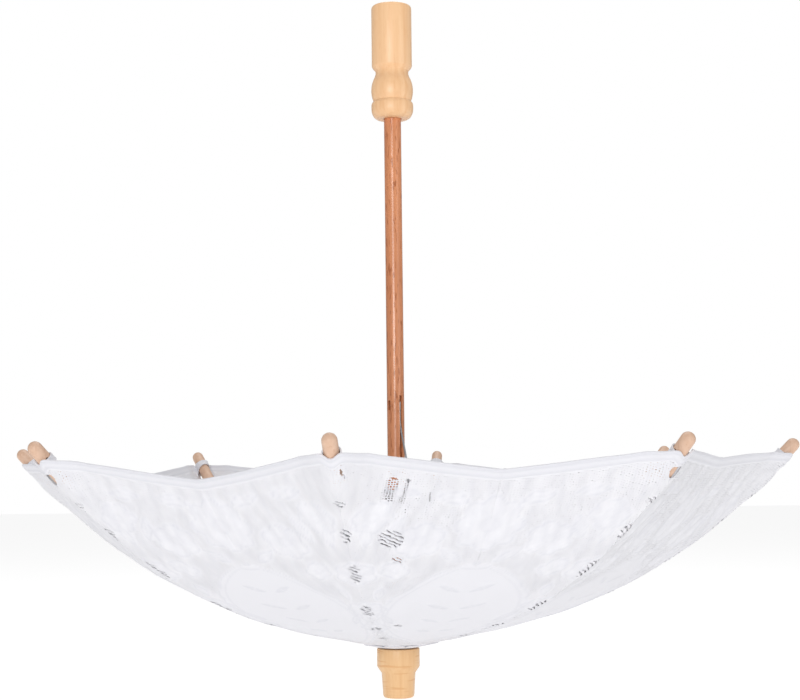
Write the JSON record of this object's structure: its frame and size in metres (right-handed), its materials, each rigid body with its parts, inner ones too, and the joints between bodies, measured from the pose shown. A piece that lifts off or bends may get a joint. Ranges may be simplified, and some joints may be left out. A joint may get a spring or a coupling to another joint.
{
  "type": "lace parasol",
  "caption": "Small open lace parasol standing handle up: turned wooden handle, shaft and ferrule, folding steel ribs with wooden tips and a bowl-shaped white lace canopy.",
  "frame": {"origin": "on the shaft's axis at the flat end of the ferrule", "axes": "+Z along the shaft from the ferrule to the handle's end; the front rib lies 7.5 degrees from -Y towards -X"},
  "size_m": [0.4304, 0.4304, 0.3834],
  "materials": {
    "pale_wood": "satin",
    "stained_wood": "satin",
    "steel": "satin",
    "nickel_plate": "polished",
    "white_lace": "matt"
  },
  "bodies": {
    "root": {"shaft": "stained_wood", "handle": "pale_wood", "ferrule": "pale_wood", "crown": "nickel_plate", "crown_wire": "steel", "crown_pin": "steel", "centre_patch": "white_lace"},
    "catch": {"catch_spring": "steel"},
    "runner": {"runner": "nickel_plate", "runner_wire": "steel"},
    "rib_1": {"rib_1": "steel", "tip_1": "pale_wood", "rivet_1": "steel"},
    "stretcher_1": {"stretcher_1": "steel"},
    "gore_1a": {"gore_1a": "white_lace"},
    "gore_1b": {"gore_1b": "white_lace"},
    "rib_2": {"rib_2": "steel", "tip_2": "pale_wood", "rivet_2": "steel"},
    "stretcher_2": {"stretcher_2": "steel"},
    "gore_2a": {"gore_2a": "white_lace"},
    "gore_2b": {"gore_2b": "white_lace"},
    "rib_3": {"rib_3": "steel", "tip_3": "pale_wood", "rivet_3": "steel"},
    "stretcher_3": {"stretcher_3": "steel"},
    "gore_3a": {"gore_3a": "white_lace"},
    "gore_3b": {"gore_3b": "white_lace"},
    "rib_4": {"rib_4": "steel", "tip_4": "pale_wood", "rivet_4": "steel"},
    "stretcher_4": {"stretcher_4": "steel"},
    "gore_4a": {"gore_4a": "white_lace"},
    "gore_4b": {"gore_4b": "white_lace"},
    "rib_5": {"rib_5": "steel", "tip_5": "pale_wood", "rivet_5": "steel"},
    "stretcher_5": {"stretcher_5": "steel"},
    "gore_5a": {"gore_5a": "white_lace"},
    "gore_5b": {"gore_5b": "white_lace"},
    "rib_6": {"rib_6": "steel", "tip_6": "pale_wood", "rivet_6": "steel"},
    "stretcher_6": {"stretcher_6": "steel"},
    "gore_6a": {"gore_6a": "white_lace"},
    "gore_6b": {"gore_6b": "white_lace"},
    "rib_7": {"rib_7": "steel", "tip_7": "pale_wood", "rivet_7": "steel"},
    "stretcher_7": {"stretcher_7": "steel"},
    "gore_7a": {"gore_7a": "white_lace"},
    "gore_7b": {"gore_7b": "white_lace"},
    "rib_8": {"rib_8": "steel", "tip_8": "pale_wood", "rivet_8": "steel"},
    "stretcher_8": {"stretcher_8": "steel"},
    "gore_8a": {"gore_8a": "white_lace"},
    "gore_8b": {"gore_8b": "white_lace"}
  },
  "joints": [
    {"name": "fold_1", "type": "hinge", "parent": "root", "child": "rib_1", "pos_m": [-0.00099, -0.00754, 0.0312], "axis": [-0.9914, 0.1305, 0], "range_deg": [0, 62]},
    {"name": "knee_1", "type": "hinge", "parent": "rib_1", "child": "stretcher_1", "pos_m": [-0.01418, -0.10772, 0.05746], "axis": [-0.9914, 0.1305, 0], "range_deg": [-124, 0]},
    {"name": "pleat_1a", "type": "hinge", "parent": "rib_1", "child": "gore_1a", "pos_m": [0.00325, -0.00809, 0.02022], "axis": [-0.3812, -0.7481, 0.5432], "range_deg": [-43, 0], "deforming": ["gore_1a"]},
    {"name": "pleat_1b", "type": "hinge", "parent": "rib_1", "child": "gore_1b", "pos_m": [-0.00523, -0.00698, 0.02022], "axis": [-0.1746, 0.8213, -0.5432], "range_deg": [-43, 0], "deforming": ["gore_1b"]},
    {"name": "fold_2", "type": "hinge", "parent": "root", "child": "rib_2", "pos_m": [0.00463, -0.00603, 0.0312], "axis": [-0.7934, -0.6088, 0], "range_deg": [0, 62]},
    {"name": "knee_2", "type": "hinge", "parent": "rib_2", "child": "stretcher_2", "pos_m": [0.06614, -0.0862, 0.05746], "axis": [-0.7934, -0.6088, 0], "range_deg": [-124, 0]},
    {"name": "pleat_2a", "type": "hinge", "parent": "rib_2", "child": "gore_2a", "pos_m": [0.00802, -0.00343, 0.02022], "axis": [0.2595, -0.7985, 0.5432], "range_deg": [-43, 0], "deforming": ["gore_2a"]},
    {"name": "pleat_2b", "type": "hinge", "parent": "rib_2", "child": "gore_2b", "pos_m": [0.00123, -0.00863, 0.02022], "axis": [-0.7042, 0.4573, -0.5432], "range_deg": [-43, 0], "deforming": ["gore_2b"]},
    {"name": "fold_3", "type": "hinge", "parent": "root", "child": "rib_3", "pos_m": [0.00754, -0.00099, 0.0312], "axis": [-0.1305, -0.9914, 0], "range_deg": [0, 62]},
    {"name": "knee_3", "type": "hinge", "parent": "rib_3", "child": "stretcher_3", "pos_m": [0.10772, -0.01418, 0.05746], "axis": [-0.1305, -0.9914, 0], "range_deg": [-124, 0]},
    {"name": "pleat_3a", "type": "hinge", "parent": "rib_3", "child": "gore_3a", "pos_m": [0.00809, 0.00325, 0.02022], "axis": [0.7481, -0.3812, 0.5432], "range_deg": [-43, 0], "deforming": ["gore_3a"]},
    {"name": "pleat_3b", "type": "hinge", "parent": "rib_3", "child": "gore_3b", "pos_m": [0.00698, -0.00523, 0.02022], "axis": [-0.8213, -0.1746, -0.5432], "range_deg": [-43, 0], "deforming": ["gore_3b"]},
    {"name": "fold_4", "type": "hinge", "parent": "root", "child": "rib_4", "pos_m": [0.00603, 0.00463, 0.0312], "axis": [0.6088, -0.7934, 0], "range_deg": [0, 62]},
    {"name": "knee_4", "type": "hinge", "parent": "rib_4", "child": "stretcher_4", "pos_m": [0.0862, 0.06614, 0.05746], "axis": [0.6088, -0.7934, 0], "range_deg": [-124, 0]},
    {"name": "pleat_4a", "type": "hinge", "parent": "rib_4", "child": "gore_4a", "pos_m": [0.00343, 0.00802, 0.02022], "axis": [0.7985, 0.2595, 0.5432], "range_deg": [-43, 0], "deforming": ["gore_4a"]},
    {"name": "pleat_4b", "type": "hinge", "parent": "rib_4", "child": "gore_4b", "pos_m": [0.00863, 0.00123, 0.02022], "axis": [-0.4573, -0.7042, -0.5432], "range_deg": [-43, 0], "deforming": ["gore_4b"]},
    {"name": "fold_5", "type": "hinge", "parent": "root", "child": "rib_5", "pos_m": [0.00099, 0.00754, 0.0312], "axis": [0.9914, -0.1305, 0], "range_deg": [0, 62]},
    {"name": "knee_5", "type": "hinge", "parent": "rib_5", "child": "stretcher_5", "pos_m": [0.01418, 0.10772, 0.05746], "axis": [0.9914, -0.1305, 0], "range_deg": [-124, 0]},
    {"name": "pleat_5a", "type": "hinge", "parent": "rib_5", "child": "gore_5a", "pos_m": [-0.00325, 0.00809, 0.02022], "axis": [0.3812, 0.7481, 0.5432], "range_deg": [-43, 0], "deforming": ["gore_5a"]},
    {"name": "pleat_5b", "type": "hinge", "parent": "rib_5", "child": "gore_5b", "pos_m": [0.00523, 0.00698, 0.02022], "axis": [0.1746, -0.8213, -0.5432], "range_deg": [-43, 0], "deforming": ["gore_5b"]},
    {"name": "fold_6", "type": "hinge", "parent": "root", "child": "rib_6", "pos_m": [-0.00463, 0.00603, 0.0312], "axis": [0.7934, 0.6088, 0], "range_deg": [0, 62]},
    {"name": "knee_6", "type": "hinge", "parent": "rib_6", "child": "stretcher_6", "pos_m": [-0.06614, 0.0862, 0.05746], "axis": [0.7934, 0.6088, 0], "range_deg": [-124, 0]},
    {"name": "pleat_6a", "type": "hinge", "parent": "rib_6", "child": "gore_6a", "pos_m": [-0.00802, 0.00343, 0.02022], "axis": [-0.2595, 0.7985, 0.5432], "range_deg": [-43, 0], "deforming": ["gore_6a"]},
    {"name": "pleat_6b", "type": "hinge", "parent": "rib_6", "child": "gore_6b", "pos_m": [-0.00123, 0.00863, 0.02022], "axis": [0.7042, -0.4573, -0.5432], "range_deg": [-43, 0], "deforming": ["gore_6b"]},
    {"name": "fold_7", "type": "hinge", "parent": "root", "child": "rib_7", "pos_m": [-0.00754, 0.00099, 0.0312], "axis": [0.1305, 0.9914, 0], "range_deg": [0, 62]},
    {"name": "knee_7", "type": "hinge", "parent": "rib_7", "child": "stretcher_7", "pos_m": [-0.10772, 0.01418, 0.05746], "axis": [0.1305, 0.9914, 0], "range_deg": [-124, 0]},
    {"name": "pleat_7a", "type": "hinge", "parent": "rib_7", "child": "gore_7a", "pos_m": [-0.00809, -0.00325, 0.02022], "axis": [-0.7481, 0.3812, 0.5432], "range_deg": [-43, 0], "deforming": ["gore_7a"]},
    {"name": "pleat_7b", "type": "hinge", "parent": "rib_7", "child": "gore_7b", "pos_m": [-0.00698, 0.00523, 0.02022], "axis": [0.8213, 0.1746, -0.5432], "range_deg": [-43, 0], "deforming": ["gore_7b"]},
    {"name": "fold_8", "type": "hinge", "parent": "root", "child": "rib_8", "pos_m": [-0.00603, -0.00463, 0.0312], "axis": [-0.6088, 0.7934, 0], "range_deg": [0, 62]},
    {"name": "knee_8", "type": "hinge", "parent": "rib_8", "child": "stretcher_8", "pos_m": [-0.0862, -0.06614, 0.05746], "axis": [-0.6088, 0.7934, 0], "range_deg": [-124, 0]},
    {"name": "pleat_8a", "type": "hinge", "parent": "rib_8", "child": "gore_8a", "pos_m": [-0.00343, -0.00802, 0.02022], "axis": [-0.7985, -0.2595, 0.5432], "range_deg": [-43, 0], "deforming": ["gore_8a"]},
    {"name": "pleat_8b", "type": "hinge", "parent": "rib_8", "child": "gore_8b", "pos_m": [-0.00863, -0.00123, 0.02022], "axis": [0.4573, 0.7042, -0.5432], "range_deg": [-43, 0], "deforming": ["gore_8b"]},
    {"name": "runner_hinge", "type": "hinge", "parent": "stretcher_1", "child": "runner", "pos_m": [-0.00099, -0.00754, 0.08371], "axis": [-0.9914, 0.1305, 0], "range_deg": [0, 62]},
    {"name": "catch_press", "type": "hinge", "parent": "root", "child": "catch", "pos_m": [0.00129, -0.00153, 0.16], "axis": [0.766, 0.6428, 0], "range_deg": [0, 8], "stiffness_Nm_per_rad": 0.3, "deforming": ["catch_spring"]}
  ],
  "couplings": [
    {"joint": "knee_1", "follows": "fold_1", "ratio": -2},
    {"joint": "pleat_1a", "follows": "fold_1", "ratio": -0.69193},
    {"joint": "pleat_1b", "follows": "fold_1", "ratio": -0.69193},
    {"joint": "fold_2", "follows": "fold_1", "ratio": 1},
    {"joint": "knee_2", "follows": "fold_1", "ratio": -2},
    {"joint": "pleat_2a", "follows": "fold_1", "ratio": -0.69193},
    {"joint": "pleat_2b", "follows": "fold_1", "ratio": -0.69193},
    {"joint": "fold_3", "follows": "fold_1", "ratio": 1},
    {"joint": "knee_3", "follows": "fold_1", "ratio": -2},
    {"joint": "pleat_3a", "follows": "fold_1", "ratio": -0.69193},
    {"joint": "pleat_3b", "follows": "fold_1", "ratio": -0.69193},
    {"joint": "fold_4", "follows": "fold_1", "ratio": 1},
    {"joint": "knee_4", "follows": "fold_1", "ratio": -2},
    {"joint": "pleat_4a", "follows": "fold_1", "ratio": -0.69193},
    {"joint": "pleat_4b", "follows": "fold_1", "ratio": -0.69193},
    {"joint": "fold_5", "follows": "fold_1", "ratio": 1},
    {"joint": "knee_5", "follows": "fold_1", "ratio": -2},
    {"joint": "pleat_5a", "follows": "fold_1", "ratio": -0.69193},
    {"joint": "pleat_5b", "follows": "fold_1", "ratio": -0.69193},
    {"joint": "fold_6", "follows": "fold_1", "ratio": 1},
    {"joint": "knee_6", "follows": "fold_1", "ratio": -2},
    {"joint": "pleat_6a", "follows": "fold_1", "ratio": -0.69193},
    {"joint": "pleat_6b", "follows": "fold_1", "ratio": -0.69193},
    {"joint": "fold_7", "follows": "fold_1", "ratio": 1},
    {"joint": "knee_7", "follows": "fold_1", "ratio": -2},
    {"joint": "pleat_7a", "follows": "fold_1", "ratio": -0.69193},
    {"joint": "pleat_7b", "follows": "fold_1", "ratio": -0.69193},
    {"joint": "fold_8", "follows": "fold_1", "ratio": 1},
    {"joint": "knee_8", "follows": "fold_1", "ratio": -2},
    {"joint": "pleat_8a", "follows": "fold_1", "ratio": -0.69193},
    {"joint": "pleat_8b", "follows": "fold_1", "ratio": -0.69193},
    {"joint": "runner_hinge", "follows": "fold_1", "ratio": 1}
  ]
}
